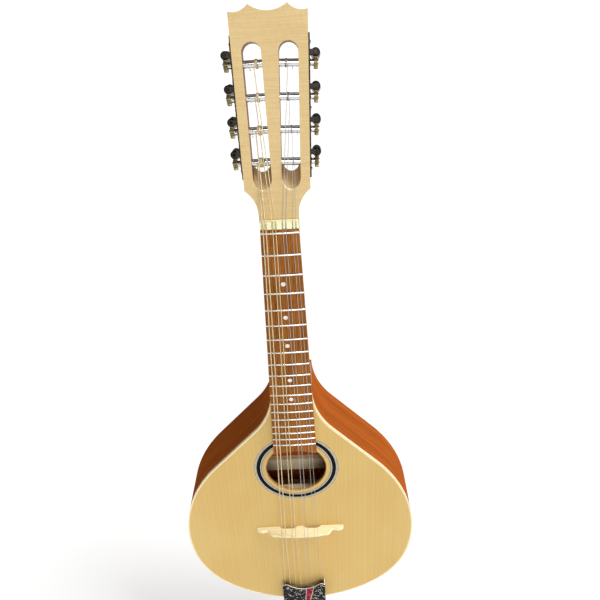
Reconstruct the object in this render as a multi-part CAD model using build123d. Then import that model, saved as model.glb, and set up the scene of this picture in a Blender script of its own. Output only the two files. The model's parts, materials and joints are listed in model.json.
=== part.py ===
from build123d import *
import os
from math import asin, atan2, cos, degrees, hypot, pi, radians, sin, sqrt, tan

os.makedirs("parts", exist_ok=True)

# A flat-backed mandolin with a teardrop body and a slotted head, in millimetres.
# X runs across the strings, -Y is the player's side and Z runs up towards the head.
# Inside this file Z = 0 is the zero fret and Y = 0 the sound table's face.
# save() then moves every piece so that the origin is the hanging place below the head.
HANGER_Z = 22.0

# Strings, fingerboard and neck
SCALE = 345.0
FRET_COUNT = 18
NUT_FRONT_Z = 4.5
NUT_BACK_Z = 10.0
NUT_OVER_BOARD = 2.9
BOARD_T = 5.1
CAMBER_R = 184.0
CROWN_W = 2.0
CROWN_H = 1.0
TANG_W = 0.5
TANG_DEPTH = 1.2
FRET_INSET = 0.3
DOT_R = 2.0
DOT_DEPTH = 1.2
DOT_SPACES = (3, 5, 7, 10, 12)
NECK_SPLAY = 1.34
NECK_DEPTH = 16.0
NECK_DEPTH_GAIN = 2.0
HEEL_LENGTH = 42.0
STRING_RADII = (0.48, 0.48, 0.36, 0.36, 0.22, 0.22, 0.16, 0.16)
STRING_GAP = 0.05
STRING_BEND_R = 6.0
PAIR_PITCH_NUT = 2.5
PAIR_PITCH_BRIDGE = 3.5
COURSE_NUT = (4.0, 11.8)
COURSE_BRIDGE = (6.5, 17.1)

# Body: the outline is tangent arcs from the tail round to the neck
TAIL_TO_BRIDGE = 117.7
TAIL_ARC = (135.8, 37.5)
BOUT_ARC = (93.2, 40.2)
SIDE_ARC = (138.2, 56.1)
SHOULDER_RUN = 63.4
SHOULDER_R = 66.0
BODY_DEPTH = 55.0
TABLE_T = 2.6
BACK_T = 2.6
RIB_T = 1.6
BINDING_DEPTH = 3.2
LINING_W = 5.0
LINING_DEPTH = 7.5
BLOCK_LENGTH = 27.0
TAIL_BLOCK_W = 56.0
TAIL_BLOCK_T = 18.0
TAIL_TO_HOLE = 203.6
HOLE_R = 30.0
ROSETTE_RADII = (33.7, 36.5, 39.5, 42.4)
ROSETTE_DEPTH = 1.0
TOP_BRACES = (244.0, 166.0)
TOP_BRACE_W = 7.0
TOP_BRACE_DEPTH = 9.5
BACK_BRACES = (164.0, 128.0, 68.0)
BACK_BRACE_W = 15.0
BACK_BRACE_DEPTH = 6.0

# Bridge: half of its outline is mirrored; a pair of points is (passes, reaches)
BRIDGE_CREST = 12.5
BRIDGE_SHOULDER = (21.0, 11.6)
BRIDGE_DIP = (24.0, 10.6)
BRIDGE_FALL = ((30.8, 8.8), (26.5, 10.5))
BRIDGE_STEP = ((34.6, 3.7), (33.0, 5.0))
BRIDGE_WING = ((41.5, 4.2), (37.0, 3.5))
BRIDGE_TIP = (45.5, 2.1)
BRIDGE_TIP_ROUND = 0.6
BRIDGE_ARCH = (3.5, 22.0)
BRIDGE_ARCH_END = 6.5
BRIDGE_ARCH_BEND = (2.7, 2.3)
BRIDGE_ARCH_H = 2.9
BRIDGE_T = 5.0
BRIDGE_LEAN = (1.6, 0.8)

# Tailpiece and its cover
COVER_W = 47.6
COVER_T = 0.8
COVER_FRONT_H = 8.8
COVER_TAIL_H = 6.4
COVER_DROP = 16.0
COVER_OUT = 4.7
COVER_BEND_R = 7.0
COVER_EAR = (18.7, 35.2)
COVER_DIP = 26.3
COVER_DIP_BEND = (12.0, 30.0)
COVER_CORNER = 32.0
COVER_CORNER_BEND = (1.8, 34.3)
PLATE_T = 1.2
PLATE_W = 44.0
PLATE_REACH = 21.0
END_PLATE_W = 30.0
END_PLATE_DROP = 30.0
HOOK_R = 0.8
HOOK_H = 4.0
HOOK_FROM_TAIL = 15.5
HOOK_SPREAD = 21.6
TAIL_SCREWS = ((-9.0, 12.0), (9.0, 12.0), (0.0, 24.0))
TAIL_SCREW_R = 1.4
TAIL_SCREW_L = 14.0

# Head: sizes are across X and along S, the distance up the head from the nut
HEAD_TILT = 13.0
HEAD_CORE_T = 13.8
FACEPLATE_T = 1.25
HEAD_FOOT = (15.9, 3.0)
FLARE_MID = (18.6, 14.6)
SIDE_LOW = (25.9, 23.2)
SIDE_TOP = (29.4, 153.2)
CREST_PEAK = (14.5, 157.8)
SCALLOP_OUT = (22.3, 153.0)
SCALLOP_MID = (0.0, 153.0)
BACK_ROUND = 3.0
SLOT_R = 7.4
SLOT_IN = 14.85
SLOT_TOP = 132.3
RAMP_FACE = 22.4
RAMP_BACK = 36.4

# Tuners: U is out from the head's side, V up along it and W out of the face
POST_FIRST = 44.0
POST_PITCH = 24.2
POST_W = -5.0
POST_R = 3.0
RUNNING_GAP = 0.05
POST_IN_BAR = 3.0
SPINDLE_R = 1.8
SIDE_PLATE_T = 1.2
SIDE_PLATE_W = 10.0
SIDE_PLATE_ENDS = (6.0, 14.5)
SIDE_PLATE_FINIAL = 4.6
WAIST_UP = 3.5
WAIST_R = 3.2
WAIST_OUT = 1.6
PLATE_SCREW_R = 1.0
PLATE_SCREW_HEAD_R = 1.9
PLATE_SCREW_HEAD_H = 1.1
GEAR_U = 5.4
GEAR_T = 3.2
GEAR_TEETH = 14
GEAR_PITCH_R = 4.3
WORM_PITCH_R = 2.9
ADDENDUM = 0.4
DEDENDUM = 0.55
TOOTH_TIP = 0.24
TOOTH_ROOT = 0.52
THREAD_TIP = 0.20
THREAD_ROOT = 0.48
THREAD_TURNS = 2.5
SHAFT_R = 1.2
BRACKET_W = 4.2
BRACKET_T = 1.0
BRACKET_HALF = 1.95
BUTTON_FROM = -5.9
BUTTON_L = 11.5
BUTTON_HALF = (3.8, 4.5)
STRING_ON_POST = (14.5, 14.2, 13.2, 12.8)
WINDING_TURNS = 4

# Worked out from the sizes above
TAIL_Z = -(SCALE + TAIL_TO_BRIDGE)
BACK_Y = BODY_DEPTH - BACK_T
HOLE_Z = TAIL_Z + TAIL_TO_HOLE
BOARD_END_Z = HOLE_Z + HOLE_R - 2.7
BOARD_CORNER_Z = BOARD_END_Z - 4.7
CAMBER_Y = CAMBER_R - BOARD_T
SIDE_TILT = degrees(atan2(SIDE_TOP[0] - SIDE_LOW[0], SIDE_TOP[1] - SIDE_LOW[1]))
WORM_V = GEAR_PITCH_R + WORM_PITCH_R
WORM_PITCH = 2 * pi * GEAR_PITCH_R / GEAR_TEETH
WORM_ROOT_R = WORM_PITCH_R - DEDENDUM
HEAD = Plane(
    origin=(0, 0, NUT_BACK_Z),
    x_dir=(1, 0, 0),
    z_dir=(0, -cos(radians(HEAD_TILT)), sin(radians(HEAD_TILT))),
).location
BIG = 300.0


def save(node, *shapes):
    """Write one sub-part, with every solid of it moved to the final origin."""
    solids = [solid for shape in shapes for solid in shape.solids()]
    moved = [Pos(0, 0, -HANGER_Z) * solid for solid in solids]
    whole = moved[0] if len(moved) == 1 else Compound(children=moved)
    export_step(whole, f"parts/{node}.step")


def slab(face, y_front, y_back):
    """Extrude a face drawn across X and Z between two depths."""
    return extrude(Plane.XZ.offset(-y_back) * face, amount=y_back - y_front)


def across(face, half_width):
    """Extrude a face drawn along Y and Z to both sides of the middle."""
    return extrude(Plane.YZ * face, amount=half_width, both=True)


def strip(x_half, z_low, z_high):
    """A rectangle across X and Z."""
    return Pos(0, (z_low + z_high) / 2) * Rectangle(2 * x_half, z_high - z_low)


def mirrored(edges):
    """A closed face from one half of its edge, drawn on the +X side."""
    half = Curve() + edges
    return make_face(half + mirror(half, Plane.YZ))


# ---------------------------------------------------------------- body


def outline_edges(inset=0.0, run_on=0.0):
    """Half of the body's outline, moved inwards, and run on up the neck."""
    tail = JernArc((0, TAIL_Z + inset), (1, 0), TAIL_ARC[0] - inset, TAIL_ARC[1])
    bout = JernArc(tail @ 1, tail % 1, BOUT_ARC[0] - inset, BOUT_ARC[1])
    side = JernArc(bout @ 1, bout % 1, SIDE_ARC[0] - inset, SIDE_ARC[1])
    run = Line(side @ 1, side @ 1 + SHOULDER_RUN * (side % 1))
    turn = TAIL_ARC[1] + BOUT_ARC[1] + SIDE_ARC[1] - 90 - NECK_SPLAY
    neck = JernArc(run @ 1, run % 1, SHOULDER_R + inset, -turn)
    edges = [tail, bout, side, run, neck]
    if run_on:
        edges.append(Line(neck @ 1, neck @ 1 + run_on * (neck % 1)))
    return edges


def closed_outline(edges):
    """Close half an outline across the top and mirror it."""
    end = edges[-1] @ 1
    return mirrored([*edges, Line(end, (0, end.Y))])


BODY = closed_outline(outline_edges())
JOIN = outline_edges()[-1] @ 1
JOIN_HALF = JOIN.X
JOIN_Z = JOIN.Y


def inner(inset):
    """The body's outline moved inwards, but still reaching the neck."""
    return closed_outline(outline_edges(inset, inset + 2)) & BODY


INSIDE = inner(RIB_T)
CLEAR = inner(RIB_T + LINING_W)
NECK_BLOCK = INSIDE & strip(BIG, JOIN_Z - BLOCK_LENGTH, JOIN_Z)
TAIL_BLOCK = INSIDE & strip(TAIL_BLOCK_W / 2, TAIL_Z, TAIL_Z + RIB_T + TAIL_BLOCK_T)


def board_half(z):
    """Half the width of the neck and fingerboard, which widen evenly downwards."""
    return JOIN_HALF - tan(radians(NECK_SPLAY)) * (z - JOIN_Z)


def tail_screw_holes():
    """Bores for the tailpiece's screws, along Z."""
    bore = Cylinder(TAIL_SCREW_R, TAIL_SCREW_L, align=(Align.CENTER, Align.CENTER, Align.MAX))
    top = TAIL_Z - PLATE_T + TAIL_SCREW_L
    return [Pos(x, y, top) * bore for x, y in TAIL_SCREWS]


def make_shell():
    table = INSIDE - Pos(0, HOLE_Z) * Circle(HOLE_R)
    channel = ring_of(ROSETTE_RADII[0], ROSETTE_RADII[3])
    save("soundboard", slab(table, 0, TABLE_T) - slab(channel, 0, ROSETTE_DEPTH))
    save("edge_binding", slab(BODY - INSIDE, 0, BINDING_DEPTH))
    save("back_plate", slab(BODY, BACK_Y, BODY_DEPTH))
    ribs = slab(BODY - INSIDE, BINDING_DEPTH, BACK_Y) - tail_screw_holes()
    for name, side in (("rib_left", -1), ("rib_right", 1)):
        half_space = Pos(side * BIG / 2, 0, TAIL_Z) * Box(BIG, BIG, 3 * BIG)
        save(name, ribs & half_space)


def ring_of(inside_r, outside_r):
    """A flat ring about the soundhole."""
    return Pos(0, HOLE_Z) * (Circle(outside_r) - Circle(inside_r))


def make_rosette():
    radii = ROSETTE_RADII
    save("rosette_ring", slab(ring_of(radii[1], radii[2]), 0, ROSETTE_DEPTH))
    lines = [slab(ring_of(radii[k], radii[k + 1]), 0, ROSETTE_DEPTH) for k in (0, 2)]
    save("rosette_purfling", *lines)


def make_inside():
    save("neck_block", slab(NECK_BLOCK, TABLE_T, BACK_Y))
    save("tail_block", slab(TAIL_BLOCK, TABLE_T, BACK_Y) - tail_screw_holes())
    lining = INSIDE - CLEAR - NECK_BLOCK - TAIL_BLOCK
    save("top_lining", slab(lining, TABLE_T, TABLE_T + LINING_DEPTH))
    save("back_lining", slab(lining, BACK_Y - LINING_DEPTH, BACK_Y))
    for name, places, width, front, back in (
        ("top_braces", TOP_BRACES, TOP_BRACE_W, TABLE_T, TABLE_T + TOP_BRACE_DEPTH),
        ("back_braces", BACK_BRACES, BACK_BRACE_W, BACK_Y - BACK_BRACE_DEPTH, BACK_Y),
    ):
        bars = []
        for from_tail in places:
            z = TAIL_Z + from_tail
            bars.append(slab(CLEAR & strip(BIG, z - width / 2, z + width / 2), front, back))
        save(name, *bars)


# ---------------------------------------------------------------- neck and head


def head_point(x, s, n=0.0):
    """A point given across the head, up it and out of its core's face."""
    return (HEAD * Pos(x, s, n)).position


def side_x(s):
    """Half the head's width at a distance up it."""
    return SIDE_LOW[0] + tan(radians(SIDE_TILT)) * (s - SIDE_LOW[1])


def head_outline():
    return mirrored(
        [
            Line((0, HEAD_FOOT[1]), HEAD_FOOT),
            ThreePointArc(HEAD_FOOT, FLARE_MID, SIDE_LOW),
            Line(SIDE_LOW, SIDE_TOP),
            ThreePointArc(SIDE_TOP, SCALLOP_OUT, CREST_PEAK),
            half_scallop(),
        ]
    )


def half_scallop():
    """The right half of the hollow between the crest's two peaks."""
    rise = CREST_PEAK[1] - SCALLOP_MID[1]
    radius = (CREST_PEAK[0] ** 2 + rise**2) / (2 * rise)
    angle = asin(CREST_PEAK[0] / radius) / 2
    middle = (radius * sin(angle), SCALLOP_MID[1] + radius * (1 - cos(angle)))
    return ThreePointArc(CREST_PEAK, middle, SCALLOP_MID)


def slot_cutter(side):
    """One head slot: a round-ended window with a scooped ramp at its lower end."""
    lean = -side * SIDE_TILT
    middle_x = side * (side_x(SLOT_TOP - SLOT_R) - SLOT_IN)
    top = Pos(middle_x, SLOT_TOP - SLOT_R, 0) * Rot(0, 0, lean)
    length = SLOT_TOP - RAMP_BACK - 2 * SLOT_R
    thick = 3 * HEAD_CORE_T
    window = Box(2 * SLOT_R, length, thick, align=(Align.CENTER, Align.MAX, Align.CENTER))
    window += Cylinder(SLOT_R, thick)
    drop = HEAD_CORE_T + FACEPLATE_T
    slope = degrees(atan2(drop, RAMP_BACK - RAMP_FACE))
    axis_s = RAMP_BACK + SLOT_R / sin(radians(slope)) - (SLOT_TOP - SLOT_R)
    scoop = Cylinder(SLOT_R, 2 * thick)
    scoop += Box(2 * SLOT_R, 2 * SLOT_R, 2 * thick, align=(Align.CENTER, Align.MIN, Align.CENTER))
    scoop = Pos(0, axis_s, -HEAD_CORE_T) * Rot(90 - slope, 0, 0) * scoop
    return top * (window + scoop)


def tuner_place(post, side=1):
    """Where a tuner's own U, V, W frame lies on the right-hand side of the head."""
    s = POST_FIRST + post * POST_PITCH
    tilt = radians(SIDE_TILT)
    frame = Plane(
        origin=(side_x(s), s, POST_W),
        x_dir=(cos(tilt), -sin(tilt), 0),
        z_dir=(0, 0, 1),
    )
    return HEAD * frame.location


def along_u(radius, u_from, u_to):
    """A round bar along a tuner's U axis."""
    return Pos((u_from + u_to) / 2, 0, 0) * Rot(0, 90, 0) * Cylinder(radius, u_to - u_from)


def both_sides(build):
    """Build a piece for the right side of the head and mirror it for the left."""
    return {"right": build, "left": mirror(build, Plane.YZ)}


def post_bores():
    end_u = -(SLOT_IN + SLOT_R + POST_IN_BAR)
    bore = along_u(POST_R + RUNNING_GAP, end_u, SIDE_PLATE_T + 1)
    bores = []
    for post in range(4):
        bores += both_sides(tuner_place(post) * bore).values()
    return bores


def neck_section(width_half, depth, corner):
    """A neck section: square at the front and rounded at the back."""
    front = -4.0
    back = FilletPolyline(
        (-width_half, front),
        (-width_half, depth),
        (width_half, depth),
        (width_half, front),
        radius=corner,
    )
    return make_face(Curve() + [back, Line(back @ 1, back @ 0)])


def neck_body():
    sections = []
    heel_top = JOIN_Z + HEEL_LENGTH
    for share in (1.0, 0.95, 0.89, 0.82, 0.74, 0.65, 0.55, 0.43, 0.3, 0.15, 0.0):
        z = heel_top - HEEL_LENGTH * share
        depth = NECK_DEPTH + NECK_DEPTH_GAIN
        depth += (BODY_DEPTH - depth) * share**2.6
        corner = 14.5 - 11.5 * share**1.5
        sections.append(Pos(0, 0, z) * neck_section(board_half(z), depth, corner))
    for z, depth in ((0.5 * heel_top, NECK_DEPTH + 1.0), (-2.0, NECK_DEPTH)):
        sections.append(Pos(0, 0, z) * neck_section(board_half(z), depth, 13.5))
    foot = Plane(
        origin=head_point(0, HEAD_FOOT[1]),
        x_dir=(1, 0, 0),
        z_dir=head_point(0, 1) - head_point(0, 0),
    )
    sections.append(foot * neck_section(HEAD_FOOT[0], HEAD_CORE_T, BACK_ROUND))
    return loft(sections, ruled=True)


def make_neck():
    core = extrude(head_outline(), amount=-HEAD_CORE_T)
    rear = core.faces().sort_by(Axis.Z)[0].edges()
    flank = [edge for edge in rear if abs(edge.center().X) > 15.0]
    core = fillet(flank, BACK_ROUND)
    above = head_point(0, 2 * HEAD_FOOT[1])
    front = Polyline(
        (-2 * BOARD_T, JOIN_Z - 1),
        (0, JOIN_Z - 1),
        (0, NUT_BACK_Z),
        (above.Y, above.Z),
        (-2 * BOARD_T, above.Z),
        close=True,
    )
    neck = neck_body() + HEAD * core - across(make_face(front), 2 * BOARD_T + 30)
    slots = [HEAD * slot_cutter(side) for side in (-1, 1)]
    save("neck", neck - slots - post_bores())
    face = head_outline() + strip(HEAD_FOOT[0], 0, HEAD_FOOT[1])
    plate = HEAD * extrude(face, amount=FACEPLATE_T)
    save("head_faceplate", plate - slots)


# ---------------------------------------------------------------- fingerboard


def camber_cylinder(over=0.0):
    """The rod whose side is the cambered playing surface."""
    return Pos(0, CAMBER_Y, -SCALE / 2) * Cylinder(CAMBER_R + over, 2 * SCALE)


def camber_drop(x):
    """How far the playing surface falls away at a distance from the middle."""
    return CAMBER_R - sqrt(CAMBER_R**2 - x**2)


def fret_z(number):
    return -SCALE * (1 - 2 ** (-number / 12))


def on_camber(profile, half_width):
    """Turn a small profile about the camber's axis, the width of the fingerboard."""
    half_angle = degrees(asin(half_width / CAMBER_R))
    axis = Axis((0, CAMBER_Y, 0), (0, 0, 1))
    turned = revolve(Plane.YZ * profile, axis, revolution_arc=2 * half_angle)
    back = Pos(0, CAMBER_Y, 0) * Rot(0, 0, -half_angle) * Pos(0, -CAMBER_Y, 0)
    return back * turned


def tang(number, half_width):
    """A straight blade under a fret, standing proud of the board."""
    z = fret_z(number)
    floor = -BOARD_T + camber_drop(board_half(z)) + TANG_DEPTH
    return slab(Pos(0, z) * Rectangle(2 * half_width, TANG_W), -2 * BOARD_T, floor)


def crown(number):
    z = fret_z(number)
    low = (-BOARD_T, z - CROWN_W / 2)
    high = (-BOARD_T, z + CROWN_W / 2)
    bead = Curve() + [ThreePointArc(low, (-BOARD_T - CROWN_H, z), high), Line(high, low)]
    return on_camber(make_face(bead), board_half(z) - FRET_INSET)


def dot_plug(space):
    """A round position mark between two frets, still standing proud."""
    z = (fret_z(space - 1) + fret_z(space)) / 2
    return slab(Pos(0, z) * Circle(DOT_R), -2 * BOARD_T, -BOARD_T + DOT_DEPTH)


def make_fingerboard():
    head_half = board_half(NUT_FRONT_Z)
    end_half = board_half(BOARD_CORNER_Z)
    edge = Curve() + [
        Line((-head_half, NUT_FRONT_Z), (head_half, NUT_FRONT_Z)),
        Line((head_half, NUT_FRONT_Z), (end_half, BOARD_CORNER_Z)),
        ThreePointArc((end_half, BOARD_CORNER_Z), (0, BOARD_END_Z), (-end_half, BOARD_CORNER_Z)),
        Line((-end_half, BOARD_CORNER_Z), (-head_half, NUT_FRONT_Z)),
    ]
    board = slab(make_face(edge), -2 * BOARD_T, 0) & camber_cylinder()
    slots = []
    frets = []
    for number in range(FRET_COUNT + 1):
        slots.append(tang(number, 2 * JOIN_HALF))
        foot = tang(number, board_half(fret_z(number)) - FRET_INSET) & camber_cylinder()
        frets.append(crown(number) + foot)
    plugs = [dot_plug(space) for space in DOT_SPACES]
    save("fingerboard", board - slots - plugs)
    save("frets", *frets)
    save("position_dots", *[plug & camber_cylinder() for plug in plugs])


# ---------------------------------------------------------------- strings


def course_xs(courses, pair_pitch):
    """Eight string places, left to right, from the two courses of one side."""
    right = [place + half * pair_pitch / 2 for place in courses for half in (-1, 1)]
    return [-x for x in reversed(right)] + right


NUT_XS = course_xs(COURSE_NUT, PAIR_PITCH_NUT)
BRIDGE_XS = course_xs(COURSE_BRIDGE, PAIR_PITCH_BRIDGE)
HOOK_XS = [HOOK_SPREAD * (2 * k - 7) / 7 for k in range(8)]


def string_post(number):
    """Which post, counted up from the nut, and which side a string goes to."""
    if number < 4:
        return number, "left"
    return 7 - number, "right"


def bridge_height(x):
    """The height of the bridge's slightly rounded crest."""
    rise = BRIDGE_CREST - BRIDGE_SHOULDER[1]
    radius = (BRIDGE_SHOULDER[0] ** 2 + rise**2) / (2 * rise)
    return BRIDGE_CREST - radius + sqrt(radius**2 - x**2)


def string_points(number):
    """A string's route from its hook over the bridge and zero fret to its post."""
    radius = STRING_RADII[number]
    lift = radius + STRING_GAP
    nut_x = NUT_XS[number]
    bridge_x = BRIDGE_XS[number]
    fret_y = -(BOARD_T + CROWN_H - camber_drop(nut_x)) - lift
    post, side = string_post(number)
    post_s = POST_FIRST + post * POST_PITCH
    post_x = STRING_ON_POST[post] * (-1 if side == "left" else 1)
    end = head_point(post_x, post_s, POST_W + POST_R + lift)
    hook_z = TAIL_Z + HOOK_FROM_TAIL + HOOK_R + radius
    return [
        (HOOK_XS[number], -PLATE_T - HOOK_H / 2, hook_z),
        (bridge_x, -bridge_height(bridge_x) - lift, -SCALE),
        (nut_x, fret_y, 0),
        (nut_x * 1.02, fret_y + 0.1, NUT_BACK_Z - 1),
        tuple(end),
    ]


def make_strings():
    for number, radius in enumerate(STRING_RADII):
        path = FilletPolyline(*string_points(number), radius=STRING_BEND_R)
        start = Plane(origin=path @ 0, z_dir=path % 0)
        save(f"string_{number + 1}", sweep(start * Circle(radius), path=path))


def make_nut():
    half = board_half(NUT_FRONT_Z)
    block = slab(strip(half, NUT_FRONT_Z, NUT_BACK_Z), -3 * BOARD_T, 0)
    block &= camber_cylinder(NUT_OVER_BOARD)
    for x, radius in zip(NUT_XS, STRING_RADII):
        floor = -(BOARD_T - camber_drop(x)) - 0.4
        groove = Rectangle(2 * radius + 0.8, 4 * BOARD_T)
        block -= slab(Pos(x * 1.01, NUT_BACK_Z) * groove, -3 * BOARD_T, floor)
    save("nut", block)


def make_bridge():
    tip_x, tip_h = BRIDGE_TIP
    inner_x, outer_x = BRIDGE_ARCH
    bend_x, bend_h = BRIDGE_ARCH_BEND
    arch_from = (inner_x + BRIDGE_ARCH_END, BRIDGE_ARCH_H)
    arch_to = (outer_x - BRIDGE_ARCH_END, BRIDGE_ARCH_H)
    shoulder_x = BRIDGE_SHOULDER[0]
    crest_mid = (shoulder_x / 2, bridge_height(shoulder_x / 2))
    half = [
        Line((0, 0), (inner_x, 0)),
        ThreePointArc((inner_x, 0), (inner_x + bend_x, bend_h), arch_from),
        Line(arch_from, arch_to),
        ThreePointArc(arch_to, (outer_x - bend_x, bend_h), (outer_x, 0)),
        Line((outer_x, 0), (tip_x, 0)),
        ThreePointArc((tip_x, 0), (tip_x + BRIDGE_TIP_ROUND, tip_h / 2), BRIDGE_TIP),
        ThreePointArc(BRIDGE_TIP, *BRIDGE_WING),
        ThreePointArc(BRIDGE_WING[1], *BRIDGE_STEP),
        ThreePointArc(BRIDGE_STEP[1], *BRIDGE_FALL),
        ThreePointArc(BRIDGE_FALL[1], BRIDGE_DIP, BRIDGE_SHOULDER),
        ThreePointArc(BRIDGE_SHOULDER, crest_mid, (0, BRIDGE_CREST)),
    ]
    front = Plane(origin=(0, 0, -SCALE), x_dir=(1, 0, 0), z_dir=(0, 0, 1))
    profile = mirrored(half)
    body = extrude(front * mirror(profile, Plane.XZ), amount=BRIDGE_T / 2, both=True)
    over = -BRIDGE_CREST - 2
    lean = Polyline(
        (0, -SCALE - BRIDGE_T / 2),
        (over, -SCALE - BRIDGE_T / 2 + BRIDGE_LEAN[0]),
        (over, -SCALE + BRIDGE_T / 2 - BRIDGE_LEAN[1]),
        (0, -SCALE + BRIDGE_T / 2),
        close=True,
    )
    save("bridge", body & across(make_face(lean), 2 * tip_x))


# ---------------------------------------------------------------- tailpiece


def make_tailpiece():
    top = slab(
        strip(PLATE_W / 2, TAIL_Z - PLATE_T, TAIL_Z + PLATE_REACH), -PLATE_T, 0
    )
    drop = slab(strip(END_PLATE_W / 2, TAIL_Z - PLATE_T, TAIL_Z), -PLATE_T, END_PLATE_DROP)
    plate = top + drop - tail_screw_holes()
    for x in HOOK_XS:
        post = Pos(x, TAIL_Z + HOOK_FROM_TAIL) * Circle(HOOK_R)
        plate += slab(post, -PLATE_T - HOOK_H, -PLATE_T)
    save("tailpiece", plate)
    screws = []
    head = Cylinder(2 * TAIL_SCREW_R, 1.3, align=(Align.CENTER, Align.CENTER, Align.MAX))
    groove = Pos(0, 0, -1.3) * Box(4 * TAIL_SCREW_R, 0.6, 1.0)
    for shank, (x, y) in zip(tail_screw_holes(), TAIL_SCREWS):
        screws.append(shank + Pos(x, y, TAIL_Z - PLATE_T) * (head - groove))
    save("tailpiece_screws", *screws)


def cover_side(inset):
    """The cover's side view, filled down to below the table's face."""
    front_z = TAIL_Z + COVER_EAR[1]
    back_z = TAIL_Z - COVER_OUT + inset
    bend = FilletPolyline(
        (-COVER_FRONT_H + inset, front_z),
        (-COVER_TAIL_H + inset, back_z),
        (COVER_DROP, back_z),
        radius=COVER_BEND_R - inset,
    )
    ends = Polyline(bend @ 1, (COVER_DROP, front_z), bend @ 0)
    return make_face(Curve() + [bend, ends])


def make_cover():
    half = COVER_W / 2
    skin = across(cover_side(0) - cover_side(COVER_T), half)
    cheek = Pos(-COVER_TAIL_H, TAIL_Z) * Rectangle(2 * COVER_TAIL_H - 1, 3 * COVER_EAR[1])
    cheeks = across(cover_side(0) & cheek, half)
    cheeks -= across(cover_side(0), half - COVER_T)
    low = TAIL_Z - 2 * COVER_OUT
    corner = (half, TAIL_Z + COVER_CORNER)
    corner_bend = (half - COVER_CORNER_BEND[0], TAIL_Z + COVER_CORNER_BEND[1])
    ear = (COVER_EAR[0], TAIL_Z + COVER_EAR[1])
    dip_bend = (COVER_DIP_BEND[0], TAIL_Z + COVER_DIP_BEND[1])
    edge = [
        Line((0, low), (half, low)),
        Line((half, low), corner),
        ThreePointArc(corner, corner_bend, ear),
        ThreePointArc(ear, dip_bend, (0, TAIL_Z + COVER_DIP)),
    ]
    plan = slab(mirrored(edge), -2 * COVER_FRONT_H, 2 * COVER_DROP)
    save("tailpiece_cover", (skin + cheeks) & plan)


# ---------------------------------------------------------------- tuners


def gear_face():
    """The post gear's outline, with one tooth towards the worm."""
    tip_r = GEAR_PITCH_R + ADDENDUM
    root_r = GEAR_PITCH_R - DEDENDUM
    points = []
    for tooth in range(GEAR_TEETH):
        middle = 2 * pi * tooth / GEAR_TEETH
        for radius, half in (
            (root_r, -TOOTH_ROOT),
            (tip_r, -TOOTH_TIP),
            (tip_r, TOOTH_TIP),
            (root_r, TOOTH_ROOT),
        ):
            angle = middle + half / radius
            points.append((radius * cos(angle), radius * sin(angle)))
    return make_face(Polyline(*points, close=True)) - Circle(SPINDLE_R)


def tuner_post(post):
    """The turning post with its gear, its screw and the turns of string on it."""
    inner_u = -(SLOT_IN + SLOT_R + POST_IN_BAR) + 0.2
    gear_low = GEAR_U - GEAR_T / 2
    gear_high = GEAR_U + GEAR_T / 2
    shoulder_u = SIDE_PLATE_T + 0.3
    shaft = along_u(POST_R, inner_u, shoulder_u)
    shaft += along_u(0.85 * POST_R, shoulder_u, gear_low)
    shaft += along_u(SPINDLE_R, gear_low, gear_high)
    gear = Pos(gear_low, 0, 0) * extrude(Plane.YZ * gear_face(), amount=GEAR_T)
    screw = along_u(1.25 * SPINDLE_R, gear_high, gear_high + 1.0)
    screw -= Pos(gear_high + 1.0, 0, 0) * Box(0.8, 4 * SPINDLE_R, 0.7)
    return [shaft, gear, screw]


def winding(number):
    """The turns of one string on its post, as one sleeve beside the string."""
    post, _ = string_post(number)
    radius = STRING_RADII[number]
    s = POST_FIRST + post * POST_PITCH
    string_u = (STRING_ON_POST[post] - side_x(s)) / cos(radians(SIDE_TILT))
    outer_u = string_u - radius - 0.3
    width = 2 * radius * WINDING_TURNS
    sleeve = along_u(POST_R + 2 * radius, outer_u - width, outer_u)
    return sleeve - along_u(POST_R, outer_u - width, outer_u)


def worm_shaft():
    """A one-start worm on its shaft, with the thread's gap facing the gear."""
    height = THREAD_TURNS * WORM_PITCH
    helix = Helix(WORM_PITCH, height, WORM_ROOT_R)
    start = Plane(origin=helix @ 0, x_dir=(1, 0, 0), z_dir=helix % 0)
    reach = WORM_PITCH_R + ADDENDUM - WORM_ROOT_R
    ridge = Polyline(
        (-0.3, -THREAD_ROOT),
        (0, -THREAD_ROOT),
        (reach, -THREAD_TIP),
        (reach, THREAD_TIP),
        (0, THREAD_ROOT),
        (-0.3, THREAD_ROOT),
        close=True,
    )
    thread = sweep(start * make_face(ridge), path=helix, is_frenet=True)
    thread = Pos(0, 0, -height / 2) * thread
    core = Cylinder(WORM_ROOT_R, 2 * BRACKET_W - 0.4)
    high = BRACKET_W + BRACKET_T + 0.4
    low = BUTTON_FROM - 0.6 * BUTTON_L
    rod = Pos(0, 0, (high + low) / 2) * Cylinder(SHAFT_R, high - low)
    return Pos(GEAR_U, WORM_V, 0) * (core + thread + rod)


def button():
    """An oval button, waisted towards the shaft and domed at its end."""
    half_u, half_v = BUTTON_HALF
    levels = ((0.0, 0.62), (0.12, 0.66), (0.45, 0.98), (0.75, 1.0), (0.93, 0.8), (1.0, 0.5))
    sections = []
    for share, size in levels:
        ring = Ellipse(half_u * size, half_v * size)
        sections.append(Pos(0, 0, BUTTON_FROM - BUTTON_L * share) * ring)
    low = BUTTON_FROM - 0.6 * BUTTON_L
    bore = Pos(0, 0, (BUTTON_FROM + low) / 2) * Cylinder(SHAFT_R, BUTTON_FROM - low)
    return Pos(GEAR_U, WORM_V, 0) * (loft(sections) - bore)


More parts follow.
